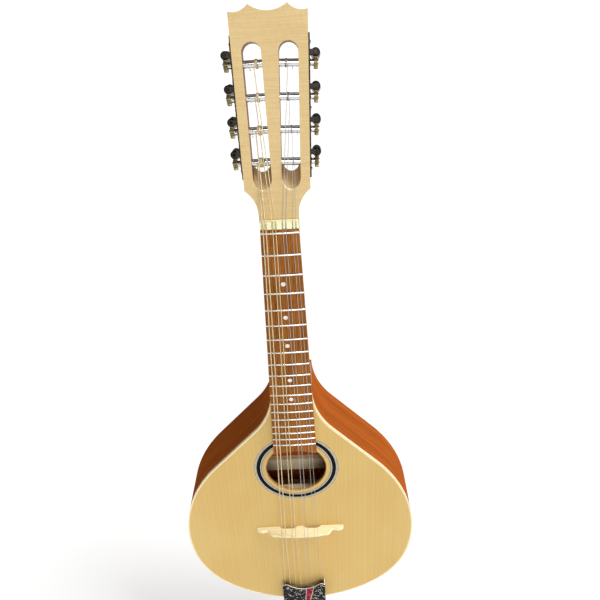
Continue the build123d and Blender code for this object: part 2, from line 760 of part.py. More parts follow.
def side_plate():
    """The long plate of one side, with its ornate ends and worm brackets."""
    low_v = -SIDE_PLATE_ENDS[0]
    high_v = 3 * POST_PITCH + SIDE_PLATE_ENDS[1]
    half_w = SIDE_PLATE_W / 2
    face = Pos((low_v + high_v) / 2, 0) * Rectangle(high_v - low_v, SIDE_PLATE_W)
    for end_v, way in ((low_v, -1), (high_v, 1)):
        face += Pos(end_v, 0) * Circle(0.72 * half_w)
        face += Pos(end_v + way * SIDE_PLATE_FINIAL, 0) * Circle(0.4 * half_w)
    for waist in (0.5, 1.5, 2.5):
        for edge in (-1, 1):
            waist_v = waist * POST_PITCH + WAIST_UP
            face -= Pos(waist_v, edge * (half_w + WAIST_OUT)) * Circle(WAIST_R)
    plate = extrude(Plane.YZ * face, amount=SIDE_PLATE_T)
    for v in plate_screw_places():
        plate -= Pos(0, v, 0) * along_u(PLATE_SCREW_R, -1, SIDE_PLATE_T + 1)
    reach = GEAR_U + BRACKET_HALF - SIDE_PLATE_T
    ear_align = (Align.MIN, Align.CENTER, Align.MIN)
    ear = Box(reach, 2 * BRACKET_HALF, BRACKET_T, align=ear_align)
    ear = Pos(SIDE_PLATE_T, WORM_V, BRACKET_W) * ear
    ear = fillet(ear.edges().filter_by(Axis.Z).group_by(Axis.X)[-1], 0.9 * BRACKET_HALF)
    hole = Pos(GEAR_U, WORM_V, 0) * Cylinder(SHAFT_R + RUNNING_GAP, 3 * SIDE_PLATE_W)
    pair = ear + mirror(ear, Plane.XY) - hole
    for post in range(4):
        at_post = Pos(0, post * POST_PITCH, 0)
        plate += at_post * pair
        plate -= at_post * along_u(POST_R + RUNNING_GAP, -1, SIDE_PLATE_T + 1)
    return plate


def plate_screw_places():
    """Where the plate's screws are, up from the first post."""
    low = -SIDE_PLATE_ENDS[0]
    return (low, 1.5 * POST_PITCH + WAIST_UP, 3 * POST_PITCH + SIDE_PLATE_ENDS[1])


def plate_screws():
    head = Pos(SIDE_PLATE_T, 0, 0) * Rot(0, 90, 0) * Sphere(PLATE_SCREW_HEAD_R, arc_size1=0)
    top = SIDE_PLATE_T + PLATE_SCREW_HEAD_H
    head = head & along_u(PLATE_SCREW_HEAD_R, SIDE_PLATE_T, top)
    head -= Pos(top, 0, 0) * Box(0.9, 4 * PLATE_SCREW_HEAD_R, 0.5)
    stub = along_u(PLATE_SCREW_R, 0, SIDE_PLATE_T)
    return [Pos(0, v, 0) * (head + stub) for v in plate_screw_places()]


def make_tuners():
    first = tuner_place(0)
    plates = both_sides(first * side_plate())
    screws = []
    for side, plate in plates.items():
        save(f"tuner_plate_{side}", plate)
    for screw in plate_screws():
        screws += both_sides(first * screw).values()
    save("plate_screws", *screws)
    worm = worm_shaft()
    knob = button()
    for number in range(8):
        post, side = string_post(number)
        place = tuner_place(post)
        pieces = [*tuner_post(post), winding(number)]
        save(f"post_{side}_{post + 1}", *[both_sides(place * piece)[side] for piece in pieces])
        save(f"worm_{side}_{post + 1}", both_sides(place * worm)[side])
        save(f"button_{side}_{post + 1}", both_sides(place * knob)[side])


make_shell()
make_rosette()
make_inside()
make_neck()
make_fingerboard()
make_nut()
make_bridge()
make_tailpiece()
make_cover()
make_strings()
make_tuners()
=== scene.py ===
"""A flat-backed mandolin with a slotted head, finished piece by piece on its CAD frame."""

import json
import math

import bmesh
import bpy
from bpy.props import FloatProperty, FloatVectorProperty, IntProperty, PointerProperty
from mathutils import Matrix, Vector


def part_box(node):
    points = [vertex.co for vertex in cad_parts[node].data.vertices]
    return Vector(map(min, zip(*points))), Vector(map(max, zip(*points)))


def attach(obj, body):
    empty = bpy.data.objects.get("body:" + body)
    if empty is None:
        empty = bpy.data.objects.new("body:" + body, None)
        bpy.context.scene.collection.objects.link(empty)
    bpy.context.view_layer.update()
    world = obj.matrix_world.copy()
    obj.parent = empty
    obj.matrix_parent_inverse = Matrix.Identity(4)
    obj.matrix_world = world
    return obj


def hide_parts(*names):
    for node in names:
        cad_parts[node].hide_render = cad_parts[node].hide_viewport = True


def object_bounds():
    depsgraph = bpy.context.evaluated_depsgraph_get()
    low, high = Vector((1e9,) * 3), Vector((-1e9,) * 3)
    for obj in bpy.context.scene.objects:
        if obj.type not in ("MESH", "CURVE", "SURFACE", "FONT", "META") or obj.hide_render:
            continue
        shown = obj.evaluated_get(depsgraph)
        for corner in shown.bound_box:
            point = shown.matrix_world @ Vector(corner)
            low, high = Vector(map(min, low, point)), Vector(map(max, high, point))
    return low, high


bl_info = {
    "name": "Flat-backed mandolin",
    "version": (1, 0, 0),
    "blender": (4, 5, 0),
    "location": "View3D > Sidebar > Mandolin",
    "description": "Finishes a flat-backed mandolin's woods, strings and tuners",
    "category": "Object",
}

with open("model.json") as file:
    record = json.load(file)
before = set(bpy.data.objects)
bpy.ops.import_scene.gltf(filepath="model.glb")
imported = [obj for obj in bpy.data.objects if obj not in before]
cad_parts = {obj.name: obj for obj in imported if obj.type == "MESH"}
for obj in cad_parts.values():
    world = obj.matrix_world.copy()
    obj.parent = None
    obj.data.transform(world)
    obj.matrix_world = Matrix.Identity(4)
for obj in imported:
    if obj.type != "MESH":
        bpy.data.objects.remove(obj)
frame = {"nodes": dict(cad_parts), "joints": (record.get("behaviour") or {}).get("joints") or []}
CAD_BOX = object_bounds()
NODES = frame["nodes"]
JOINTS = {joint["name"]: joint for joint in frame["joints"]}

MM = 0.001

# Strings, tuners and their gears, in millimetres; a tooth's profile is in shares of its turn
# and depth, and the leans of the clipped string ends are in radians.
STRING_RADII = (0.48, 0.48, 0.36, 0.36, 0.22, 0.22, 0.16, 0.16)
WOUND_STRINGS = 4
SIDES = ("left", "right")
POSTS = (1, 2, 3, 4)
HOOK_R = 0.8
LOOP_WIRE_R = 0.25
LOOP_WRAPS = 7
GEAR_U = 5.4
GEAR_T = 3.2
GEAR_WEB_R = 3.35
GEAR_HUB_R = 2.35
TOOTH_DEPTH = 0.48
TOOTH_PROFILE = (
    (-0.5, -1), (-0.30, -1), (-0.20, -0.3), (-0.12, 0.7), (-0.05, 1),
    (0.05, 1), (0.12, 0.7), (0.20, -0.3), (0.30, -1),
)
SPINDLE_R = 1.8
COIL_PITCH = 0.42
CURL_LEANS = (0.3, -0.5, 0.7, 0.1)

# Radii about the soundhole, the last number of the outer greys being their strength.
HOLE_RIM = (30.5, 30.9)
HOLE_SEAM = (33.0, 33.6)
CREAM_EDGE = (34.2, 34.4)
INNER_GREYS = ((34.3, 34.75), (35.05, 35.5))
OUTER_GREYS = ((40.6, 41.15, 0.6), (41.75, 42.5, 0.55))
INK_RING = (36.15, 40.1)

COVER_HEIGHT = 25.0
HEAD_FOOT_Z = 6.0
HEAD_INNER_HALF = 24.0


# ---------------------------------------------------------------- finishes


class Wire:
    """A socket of a finish's nodes that can be used in arithmetic."""

    def __init__(self, finish, socket):
        self.finish = finish
        self.socket = socket

    def maths(self, operation, *values):
        return self.finish.node("ShaderNodeMath", {"operation": operation}, values)

    def __add__(self, other):
        return self.maths("ADD", self, other)

    __radd__ = __add__

    def __sub__(self, other):
        return self.maths("SUBTRACT", self, other)

    def __rsub__(self, other):
        return self.maths("SUBTRACT", other, self)

    def __mul__(self, other):
        return self.maths("MULTIPLY", self, other)

    __rmul__ = __mul__

    def __truediv__(self, other):
        return self.maths("DIVIDE", self, other)

    def __rtruediv__(self, other):
        return self.maths("DIVIDE", other, self)

    def __gt__(self, other):
        return self.maths("GREATER_THAN", self, other)

    def __lt__(self, other):
        return self.maths("LESS_THAN", self, other)

    def __abs__(self):
        return self.maths("ABSOLUTE", self)

    def floor(self):
        return self.maths("FLOOR", self)

    def fract(self):
        return self.maths("FRACT", self)

    def sine(self):
        return self.maths("SINE", self)

    def root(self):
        return self.maths("SQRT", self)

    def most(self, other):
        return self.maths("MAXIMUM", self, other)

    def ease(self, low, high):
        """0 below low, 1 above high and smooth between."""
        settings = {"interpolation_type": "SMOOTHSTEP"}
        return self.finish.node("ShaderNodeMapRange", settings, (self, low, high))

    def band(self, low, high, soft):
        """1 between two values, with soft edges."""
        return self.ease(low - soft, low + soft) * (1 - self.ease(high - soft, high + soft))


class Finish:
    """A material whose nodes are written as expressions in millimetres."""

    def __init__(self, name, **shader):
        self.material = bpy.data.materials.new(name)
        self.material.use_nodes = True
        self.tree = self.material.node_tree
        self.shader = self.tree.nodes["Principled BSDF"]
        self.set(**shader)
        place = self.node("ShaderNodeTexCoord", output="Object")
        self.place = self.scaled(place, (1 / MM, 1 / MM, 1 / MM))

    def node(self, kind, settings=None, values=(), output=0):
        """Add a node: its settings first, then the values or links of its sockets."""
        made = self.tree.nodes.new(kind)
        for key, value in (settings or {}).items():
            if key == "stops":
                self.set_stops(made.color_ramp, value)
            else:
                setattr(made, key, value)
        pairs = values.items() if isinstance(values, dict) else enumerate(values)
        for key, value in pairs:
            self.feed(made.inputs[key], value)
        return Wire(self, made.outputs[output])

    def feed(self, socket, value):
        if isinstance(value, Wire):
            self.tree.links.new(value.socket, socket)
        else:
            socket.default_value = value

    def set(self, **shader):
        """Set or feed the shader's own sockets, such as base_color."""
        for key, value in shader.items():
            name = key.replace("_", " ").title().replace("Ior", "IOR")
            if isinstance(value, (tuple, list)) and len(value) == 3 and "Color" in name:
                value = (*value, 1.0)
            self.feed(self.shader.inputs[name], value)

    @staticmethod
    def set_stops(ramp, stops):
        while len(ramp.elements) < len(stops):
            ramp.elements.new(1.0)
        for element, (position, colour) in zip(ramp.elements, stops):
            element.position = position
            element.color = (*colour, 1.0)

    def scaled(self, vector, factors):
        return self.node("ShaderNodeVectorMath", {"operation": "MULTIPLY"}, (vector, factors))

    def axes(self, vector=None):
        """The three parts of a place, in millimetres."""
        made = self.node("ShaderNodeSeparateXYZ", None, (vector or self.place,))
        outputs = made.socket.node.outputs
        return tuple(Wire(self, socket) for socket in outputs)

    def vector(self, x, y, z):
        return self.node("ShaderNodeCombineXYZ", None, (x, y, z))

    def noise(self, vector, detail=3.0, roughness=0.5, distortion=0.0):
        values = {
            "Vector": vector,
            "Scale": 1.0,
            "Detail": detail,
            "Roughness": roughness,
            "Distortion": distortion,
        }
        return self.node("ShaderNodeTexNoise", None, values)

    def fibres(self, x, y, z, detail=3.0, roughness=0.5):
        """Noise with so many features to the millimetre along each axis."""
        return self.noise(self.scaled(self.place, (x, y, z)), detail, roughness)

    def cells(self, vector, feature="F1", output="Distance"):
        values = {"Vector": vector, "Scale": 1.0}
        return self.node("ShaderNodeTexVoronoi", {"feature": feature}, values, output)

    def about(self, centre_z):
        """The distance from a point of the middle line, seen from the front."""
        x, _, z = self.axes()
        return (x * x + (z - centre_z) * (z - centre_z)).root()

    def mix(self, factor, first, second):
        """Blend two colours."""
        first, second = (
            (*colour, 1.0) if isinstance(colour, tuple) else colour for colour in (first, second)
        )
        values = {0: factor, 6: first, 7: second}
        return self.node("ShaderNodeMix", {"data_type": "RGBA"}, values, 2)

    def ramp(self, factor, *stops):
        return self.node("ShaderNodeValToRGB", {"stops": stops}, (factor,))

    def shade(self, colour, amount):
        """Darken or lighten a colour by a grey amount, 1 for no change."""
        grey = self.vector(amount, amount, amount)
        return self.node("ShaderNodeVectorMath", {"operation": "MULTIPLY"}, (colour, grey))

    def relief(self, height, depth, edge=0.0):
        """Feed the normal with a height from 0 to 1, in millimetres of depth."""
        values = {"Strength": 1.0, "Distance": depth * MM, "Height": height}
        if edge:
            values["Normal"] = self.rounded(edge)
        self.set(normal=self.node("ShaderNodeBump", None, values, "Normal"))

    def rounded(self, radius):
        """Edges softened by a radius in millimetres."""
        return self.node("ShaderNodeBevel", {"samples": 4}, {"Radius": radius * MM}, "Normal")

    def facing(self):
        """The three parts of the way the surface faces."""
        return self.axes(self.node("ShaderNodeNewGeometry", output="True Normal"))


def scaled_colour(colour, *factors):
    """A colour with each of its parts multiplied, at most 1."""
    if len(factors) == 1:
        factors = factors * 3
    return tuple(min(1.0, c * k) for c, k in zip(colour, factors))


def wood_rings(f, across, width, wander):
    """Growth rings: dark latewood that fades in and stops at once."""
    drift = f.noise(f.vector(across * 0.045, 0.0, 0.0), detail=1.0)
    rings = (across + wander) / width + drift * 2.5
    phase = rings.fract()
    late = phase.ease(0.35, 0.92) * (1 - phase.ease(0.94, 1.0))
    weight = f.noise(f.vector(rings.floor() * 0.73, 3.1, 0.0), detail=0.0)
    return late * weight.ease(0.30, 0.72)


def start_spruce(name, colour, way="Z"):
    """Spruce with straight fine rings that run along one axis."""
    f = Finish(name, specular_ior_level=0.2)
    x, y, z = f.axes()
    if way == "Z":
        along = (0.008, 0.02, 0.0022)
        fine = (7.0, 7.0, 0.10)
        silk = (0.22, 0.6, 1.3)
        across = abs(x)
    else:
        along = (0.0022, 0.02, 0.008)
        fine = (0.10, 7.0, 7.0)
        silk = (1.3, 0.6, 0.22)
        across = z + y * 0.8
    wander = (f.fibres(*along, detail=1.0) - 0.5) * 2.5
    late = wood_rings(f, across, 1.25, wander)
    thread = f.fibres(*fine, detail=2.0)
    fleck = f.fibres(*silk, detail=2.0).ease(0.55, 0.75)
    cloud = f.fibres(0.02, 0.02, 0.012, detail=2.0)
    warm = f.mix(cloud.ease(0.3, 0.7), colour, scaled_colour(colour, 0.97, 0.92, 0.84))
    grained = f.mix(late * 0.55, warm, scaled_colour(colour, 0.74, 0.62, 0.47))
    return f, f.shade(grained, 0.89 + thread * 0.19 + fleck * 0.045), late, thread


def close_spruce(f, tint, late, thread, roughness):
    f.set(base_color=tint, roughness=roughness + thread * 0.12 - late * 0.06)
    f.relief(thread * 0.5 + late * 0.5, 0.03)
    return f.material


def finish_spruce(name, colour, roughness, way="Z"):
    f, tint, late, thread = start_spruce(name, colour, way)
    return close_spruce(f, tint, late, thread, roughness)


def finish_soundboard(name, colour, rim_colour, hole_z):
    """The top's spruce, with the worn golden rim of the soundhole."""
    f, tint, late, thread = start_spruce(name, colour)
    x, _, z = f.axes()
    radius = f.about(hole_z)
    dash = f.noise(f.vector(x * 0.22, z * 0.22, 0.0), detail=2.0).ease(0.35, 0.6)
    rim = 1 - radius.ease(*HOLE_RIM)
    seam = radius.band(*HOLE_SEAM, 0.12) * 0.45
    tint = f.mix((rim * (0.55 + dash * 0.35)).most(seam), tint, rim_colour)
    joint = (1 - abs(x).ease(0.05, 0.22)) * 0.25
    return close_spruce(f, f.shade(tint, 1 - joint), late, thread, 0.42)


def finish_mahogany(name, colour, way="Z", gloss=0.36):
    """Mahogany with long pores and wide bands, upright or round the rim."""
    f = Finish(name, specular_ior_level=0.0)
    if way == "Z":
        grain, pore, stripe = (0.9, 0.9, 0.012), (3.2, 3.2, 0.09), (0.11, 0.11, 0.004)
    else:
        grain, pore, stripe = (0.012, 0.9, 0.012), (0.10, 3.0, 0.10), (0.006, 0.12, 0.006)
    lines = f.fibres(*grain, detail=5.0, roughness=0.62)
    pores = f.fibres(*pore, detail=2.0).ease(0.60, 0.72)
    ribbon = f.fibres(*stripe, detail=2.0).ease(0.30, 0.70)
    cloud = f.fibres(0.013, 0.013, 0.013, detail=2.0).ease(0.25, 0.75)
    light = scaled_colour(colour, 1.30, 1.42, 1.45)
    deep = scaled_colour(colour, 0.66, 0.55, 0.50)
    tint = f.mix(lines.ease(0.30, 0.72), deep, light)
    tint = f.mix(0.55, tint, colour)
    tint = f.shade(tint, 0.86 + ribbon * 0.18 + cloud * 0.12)
    tint = f.mix(pores * 0.55, tint, scaled_colour(colour, 0.35))
    f.set(base_color=tint, roughness=gloss + lines * 0.14 + pores * 0.15)
    f.relief(lines * 0.4 + (1 - pores) * 0.6, 0.04)
    return f.material


def finish_fingerboard(name, light, dark):
    """An oiled brown board with streaks along it and open pores."""
    f = Finish(name, specular_ior_level=0.04)
    streak = f.fibres(0.75, 0.75, 0.010, detail=4.0, roughness=0.68)
    fine = f.fibres(4.5, 4.5, 0.06, detail=3.0, roughness=0.6)
    pores = f.fibres(4.0, 4.0, 0.11, detail=1.0).ease(0.58, 0.68)
    patch = f.fibres(0.05, 0.05, 0.03, detail=2.0)
    middle = tuple((a + b) / 2 for a, b in zip(light, dark))
    stops = ((0.28, dark), (0.46, middle), (0.60, light), (0.76, middle))
    tint = f.ramp(streak * 0.8 + patch * 0.2, *stops)
    tint = f.shade(tint, 0.62 + fine * 0.76)
    tint = f.mix(pores * 0.7, tint, scaled_colour(dark, 0.3))
    f.set(base_color=tint, roughness=0.48 + fine * 0.22)
    f.relief(fine * 0.4 + (1 - pores) * 0.6, 0.06)
    return f.material


def finish_maple(name, colour):
    """A pale veneer with fine cross figure and lighter rubbed edges."""
    f = Finish(name, specular_ior_level=0.12)
    figure = f.fibres(0.035, 1.0, 0.95, detail=2.0, roughness=0.5)
    grain = f.fibres(1.1, 1.1, 0.012, detail=3.0, roughness=0.6)
    cloud = f.fibres(0.05, 0.05, 0.05, detail=2.0)
    deep = scaled_colour(colour, 0.84, 0.76, 0.64)
    tint = f.mix(figure.ease(0.36, 0.70) * 0.45, colour, deep)
    tint = f.mix(grain.ease(0.45, 0.72) * 0.35, tint, deep)
    tint = f.shade(tint, 0.95 + cloud * 0.10)
    _, depth, _ = f.facing()
    cut = abs(depth).ease(0.75, 0.95)
    tint = f.mix((1 - cut) * 0.7, tint, (0.93, 0.80, 0.56))
    f.set(base_color=tint, roughness=0.42 + grain * 0.12)
    f.relief(grain * 0.6 + figure * 0.4, 0.02, edge=0.35)
    return f.material


def finish_neck(name, colour, end_colour):
    """The neck's own wood: red-brown, paler and raw where the head is cut through."""
    f = Finish(name, specular_ior_level=0.12)
    grain = f.fibres(1.0, 1.0, 0.012, detail=5.0, roughness=0.62)
    pores = f.fibres(3.0, 3.0, 0.09, detail=2.0).ease(0.60, 0.72)
    ribbon = f.fibres(0.10, 0.10, 0.004, detail=2.0).ease(0.3, 0.7)
    light = scaled_colour(colour, 1.25, 1.32, 1.35)
    deep = scaled_colour(colour, 0.68, 0.60, 0.55)
    tint = f.mix(grain.ease(0.30, 0.70), deep, light)
    tint = f.mix(0.5, tint, colour)
    tint = f.shade(tint, 0.88 + ribbon * 0.2)
    _, depth, up = f.facing()
    x, _, z = f.axes()
    head = (z > HEAD_FOOT_Z) * (abs(x) < HEAD_INNER_HALF)
    ramp = up.ease(0.25, 0.5) * head * (1 - depth.ease(0.0, 0.2))
    raw = f.mix(grain.ease(0.3, 0.7), end_colour, scaled_colour(end_colour, 0.86))
    tint = f.mix(ramp, tint, raw)
    tint = f.mix(pores * 0.45, tint, scaled_colour(colour, 0.4))
    f.set(base_color=tint, roughness=0.42 + grain * 0.16)
    f.relief(grain * 0.4 + (1 - pores) * 0.6, 0.035, edge=0.5)
    return f.material


def finish_cream(name, colour, grain_way, roughness=0.34, edge=0.25):
    """Bone, ivoroid or pale hardwood with faint lines and stains."""
    f = Finish(name, specular_ior_level=0.25, subsurface_weight=0.08, subsurface_scale=0.004)
    f.set(subsurface_radius=(1.0, 0.7, 0.4))
    lines = f.fibres(*grain_way, detail=4.0, roughness=0.6)
    stain = f.fibres(0.07, 0.07, 0.07, detail=3.0).ease(0.35, 0.75)
    specks = f.fibres(1.8, 1.8, 1.8, detail=1.0).ease(0.66, 0.78)
    warm = scaled_colour(colour, 0.95, 0.88, 0.72)
    tint = f.mix(lines.ease(0.35, 0.7) * 0.6, colour, warm)
    tint = f.mix(stain * 0.25, tint, warm)
    tint = f.mix(specks * 0.2, tint, scaled_colour(warm, 0.6))
    f.set(base_color=tint, roughness=roughness + lines * 0.12)
    f.relief(lines, 0.015, edge=edge)
    return f.material


def finish_black_ring(name):
    """Dyed black wood under lacquer."""
    f = Finish(name, specular_ior_level=0.05)
    lines = f.fibres(1.2, 1.2, 0.5, detail=3.0)
    dust = f.fibres(0.3, 0.3, 0.3, detail=3.0)
    f.set(base_color=f.mix(lines, (0.004, 0.004, 0.004), (0.012, 0.011, 0.011)))
    f.set(roughness=0.5 + dust * 0.2)
    f.relief(lines, 0.01)
    return f.material


def finish_purfling(name, hole_z):
    """Thin light, grey and black rings on both sides of the black one, by radius."""
    f = Finish(name, specular_ior_level=0.1)
    x, _, z = f.axes()
    radius = f.about(hole_z)
    turn = f.node("ShaderNodeMath", {"operation": "ARCTAN2"}, (z - hole_z, x))
    chips = f.cells(f.vector(turn * 30.0, radius * 1.6, 0.0), output="Color")
    chip, _, _ = f.axes(chips)
    grain = f.fibres(2.0, 2.0, 2.0, detail=2.0)
    pale, cream = (0.72, 0.68, 0.57), (0.72, 0.55, 0.24)
    grey, ink = (0.085, 0.080, 0.075), (0.006, 0.006, 0.006)
    inner, outer = (radius.band(low, high, 0.08) for low, high in INNER_GREYS)
    greys = inner.most(outer)
    for low, high, strength in OUTER_GREYS:
        greys = greys.most(radius.band(low, high, 0.08) * (strength + chip * 0.4))
    tint = f.mix(1 - radius.ease(*CREAM_EDGE), pale, cream)
    tint = f.mix(greys, f.shade(tint, 0.9 + grain * 0.2), grey)
    tint = f.mix(radius.band(*INK_RING, 0.07), tint, ink)
    f.set(base_color=tint, roughness=0.4 + grain * 0.14)
    f.relief(grain * 0.5 + chip * 0.5, 0.01)
    return f.material


def finish_pearl(name, colour):
    """Shell with soft sheets of green and rose."""
    f = Finish(name, specular_ior_level=0.6, coat_weight=0.6, coat_roughness=0.1)
    sheets = f.noise(f.scaled(f.place, (0.7, 0.5, 0.45)), detail=4.0, distortion=1.6)
    stops = ((0.3, (0.68, 0.72, 0.68)), (0.45, colour), (0.6, (0.82, 0.70, 0.70)), (0.75, colour))
    f.set(base_color=f.ramp(sheets, *stops), roughness=0.16 + sheets * 0.14)
    f.relief(sheets, 0.01)
    return f.material


def finish_cover(name, grey, red, tail_z):
    """Moulded black and white pearl with a slanted red band and a white cut edge."""
    f = Finish(name, specular_ior_level=0.04)
    x, y, z = f.axes()
    warp = f.noise(f.scaled(f.place, (0.5, 0.5, 0.5)), detail=2.0)
    spot = f.vector(x * 0.62 + warp * 1.6, y * 0.62 + z * 0.10, z * 0.62 - warp * 1.3)
    shard, tone, _ = f.axes(f.cells(spot, output="Color"))
    gap = f.cells(spot, feature="DISTANCE_TO_EDGE").ease(0.02, 0.16)
    small, _, _ = f.axes(f.cells(f.scaled(spot, (2.3, 2.3, 2.3)), output="Color"))
    light = shard.ease(0.60, 0.80) * small.ease(0.55, 0.75)
    blacks, whites = scaled_colour(grey, 0.06), (0.80, 0.80, 0.78)
    marbled = f.mix(tone.ease(0.66, 1.0) * 0.3, blacks, grey)
    marbled = f.mix(light * gap, marbled, whites)
    up = (z - tail_z) / COVER_HEIGHT
    middle = 3.4 + up * 3.2 + (warp - 0.5) * 1.4
    half = 2.3 + up * 1.5
    off = abs(x - middle)
    band = 1 - off.ease(half - 0.25, half + 0.1)
    line = off.ease(half - 0.25, half) * (1 - off.ease(half + 0.4, half + 0.7))
    bright_red = tuple(min(1.0, c * 2.0 + 0.01) for c in red)
    reds = f.mix(shard.ease(0.2, 0.9), red, bright_red)
    tint = f.mix(band, marbled, f.mix(light * 0.35, reds, (0.62, 0.22, 0.24)))
    tint = f.mix(line * (0.4 + small * 0.6), tint, (0.80, 0.78, 0.74))
    _, _, rise = f.facing()
    tint = f.mix(rise.ease(0.25, 0.4), tint, (0.95, 0.90, 0.76))
    f.set(base_color=tint, roughness=0.22 + small * 0.2)
    f.relief(light, 0.012, edge=0.25)
    return f.material


def finish_metal(name, colour, roughness, wear, tarnish=None, edge=0.0, metallic=1.0):
    """Plated or turned metal with smudges, hairlines and tarnish."""
    f = Finish(name, metallic=metallic)
    smudge = f.fibres(0.12, 0.12, 0.12, detail=4.0, roughness=0.6)
    hair = f.fibres(5.0, 1.2, 5.0, detail=2.0)
    dull = tarnish or scaled_colour(colour, 0.7)
    tint = f.mix(smudge.ease(0.42, 0.75) * wear * 2, colour, dull)
    f.set(base_color=tint, roughness=roughness + smudge * wear * 0.35 + hair * 0.05)
    f.relief(hair, 0.004, edge=edge)
    return f.material


def finish_aged_plate(name, colour, bright):
    """Dark plated brass, rubbed bright on its high spots."""
    f = Finish(name, metallic=0.85)
    smoke = f.fibres(0.10, 0.10, 0.10, detail=4.0, roughness=0.62)
    engraved = f.noise(f.scaled(f.place, (0.9, 0.9, 0.45)), detail=2.0, distortion=2.2)
    rub = smoke.ease(0.55, 0.80) * engraved.ease(0.45, 0.65)
    tint = f.mix(rub * 0.8, colour, bright)
    f.set(base_color=tint, roughness=0.36 + smoke * 0.22)
    f.relief(engraved.ease(0.40, 0.60), 0.05, edge=0.3)
    return f.material


def finish_wound(name, colour):
    """A wound string: its coils as ridges, with painted shade between them."""
    f = Finish(name, metallic=0.35, specular_ior_level=0.5)
    x, _, z = f.axes()
    coil = ((z + x * 0.3) * (2 * math.pi / COIL_PITCH)).sine() * 0.5 + 0.5
    age = f.fibres(0.06, 0.06, 0.02, detail=3.0)
    # Painted shade: the colour darkens to 0.45 of itself in the grooves between the coils.
    tint = f.mix(coil.ease(0.15, 0.7), scaled_colour(colour, 0.45), colour)
    tint = f.mix(age.ease(0.5, 0.8) * 0.35, tint, scaled_colour(colour, 0.6))
    f.set(base_color=tint, roughness=0.26 + age * 0.14)
    f.relief(coil, 0.06)
    return f.material


def finish_button(name, colour):
    """Moulded black plastic with a high polish and handling marks."""
    f = Finish(name, specular_ior_level=0.55, coat_weight=0.7, coat_roughness=0.05)
    print_marks = f.fibres(0.35, 0.35, 0.35, detail=4.0, roughness=0.6)
    dust = f.fibres(2.5, 2.5, 2.5, detail=1.0).ease(0.68, 0.8)
    tint = f.mix(dust * 0.10, colour, (0.25, 0.24, 0.23))
    f.set(base_color=tint, roughness=0.14 + print_marks * 0.22)
    f.relief(print_marks, 0.01)
    return f.material


def finish_floor(name, colour, glow):
    """A matt floor with a faint cloud and some light of its own."""
    f = Finish(name, specular_ior_level=0.0, emission_strength=glow)
    cloud = f.fibres(0.002, 0.002, 0.002, detail=3.0)
    f.set(base_color=f.shade(colour, 0.99 + cloud * 0.02))
    f.set(roughness=0.75 + cloud * 0.1, emission_color=(1.0, 1.0, 1.0))
    f.relief(cloud, 0.02)
    return f.material


# ---------------------------------------------------------------- shapes


class Shape:
    """Points and faces of one piece, in millimetres in its own frame."""

    def __init__(self):
        self.points = []
        self.faces = []

    def rings(self, rings, closed=False):
        """Join rings of equally many points into a skin, and cap its ends if it is open."""
        start, count = len(self.points), len(rings[0])
        for ring in rings:
            self.points.extend(tuple(point) for point in ring)
        spans = len(rings) if closed else len(rings) - 1
        for k in range(spans):
            here = start + k * count
            there = start + (k + 1) % len(rings) * count
            for i in range(count):
                j = (i + 1) % count
                self.faces.append((here + i, here + j, there + j, there + i))
        if not closed:
            last = start + (len(rings) - 1) * count
            self.faces.append(tuple(range(start + count - 1, start - 1, -1)))
            self.faces.append(tuple(range(last, last + count)))
        return self

    def lathe(self, profile, steps):
        """Turn a profile of (along, radius) pairs about the first axis."""
        return self.rings([circle(along, radius, steps) for along, radius in profile])

    def tube(self, path, radius, sides, taper):
        """A round bar along a path, with ends drawn in by a share of the radius."""
        path = [Vector(point) for point in path]
        ways = []
        for k in range(len(path)):
            before, after = path[max(k - 1, 0)], path[min(k + 1, len(path) - 1)]
            ways.append((after - before).normalized())
        side = ways[0].orthogonal().normalized()
        rings = []
        for k, (point, way) in enumerate(zip(path, ways)):
            side = (side - way * side.dot(way)).normalized()
            other = way.cross(side)
            size = radius * (1 - taper) if k in (0, len(path) - 1) else radius
            ring = []
            for i in range(sides):
                angle = 2 * math.pi * i / sides
                ring.append(point + (side * math.cos(angle) + other * math.sin(angle)) * size)
            rings.append(ring)
        return self.rings(rings)

    def made(self, name, body, material, slot, place=None, crease=35.0):
        """Make the mesh object, set it on its body and finish it."""
        mesh = bpy.data.meshes.new(name)
        mesh.from_pydata([Vector(point) * MM for point in self.points], [], self.faces)
        if place is not None:
            mesh.transform(place)
        settle = bmesh.new()
        settle.from_mesh(mesh)
        bmesh.ops.remove_doubles(settle, verts=settle.verts, dist=1e-7)
        bmesh.ops.recalc_face_normals(settle, faces=settle.faces)
        settle.to_mesh(mesh)
        settle.free()
        mesh.shade_smooth()
        mesh.set_sharp_from_angle(angle=math.radians(crease))
        mesh.materials.append(material)
        piece = bpy.data.objects.new(name, mesh)
        bpy.context.scene.collection.objects.link(piece)
        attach(piece, body)
        return piece


def circle(along, radius, steps):
    """A ring of points about the first axis."""
    angles = [2 * math.pi * i / steps for i in range(steps)]
    return [(along, radius * math.cos(a), radius * math.sin(a)) for a in angles]


def helix(low, high, radius, turns, start):
    """Points of a coil about the first axis."""
    count = round(turns * 28)
    points = []
    for k in range(count + 1):
        share = k / count
        angle = start + 2 * math.pi * turns * share
        along = low + (high - low) * share
        points.append((along, radius * math.cos(angle), radius * math.sin(angle)))
    return points


def toothed(along, size, hardware):
    """One ring of a gear's outline: rounded teeth about the first axis."""
    teeth, pitch_r = hardware.gear_teeth, hardware.gear_radius / MM
    points = []
    for tooth in range(teeth):
        for turn, rise in TOOTH_PROFILE:
            angle = 2 * math.pi * (tooth + turn) / teeth
            radius = (pitch_r + TOOTH_DEPTH * rise) * size
            points.append((along, radius * math.cos(angle), radius * math.sin(angle)))
    return points


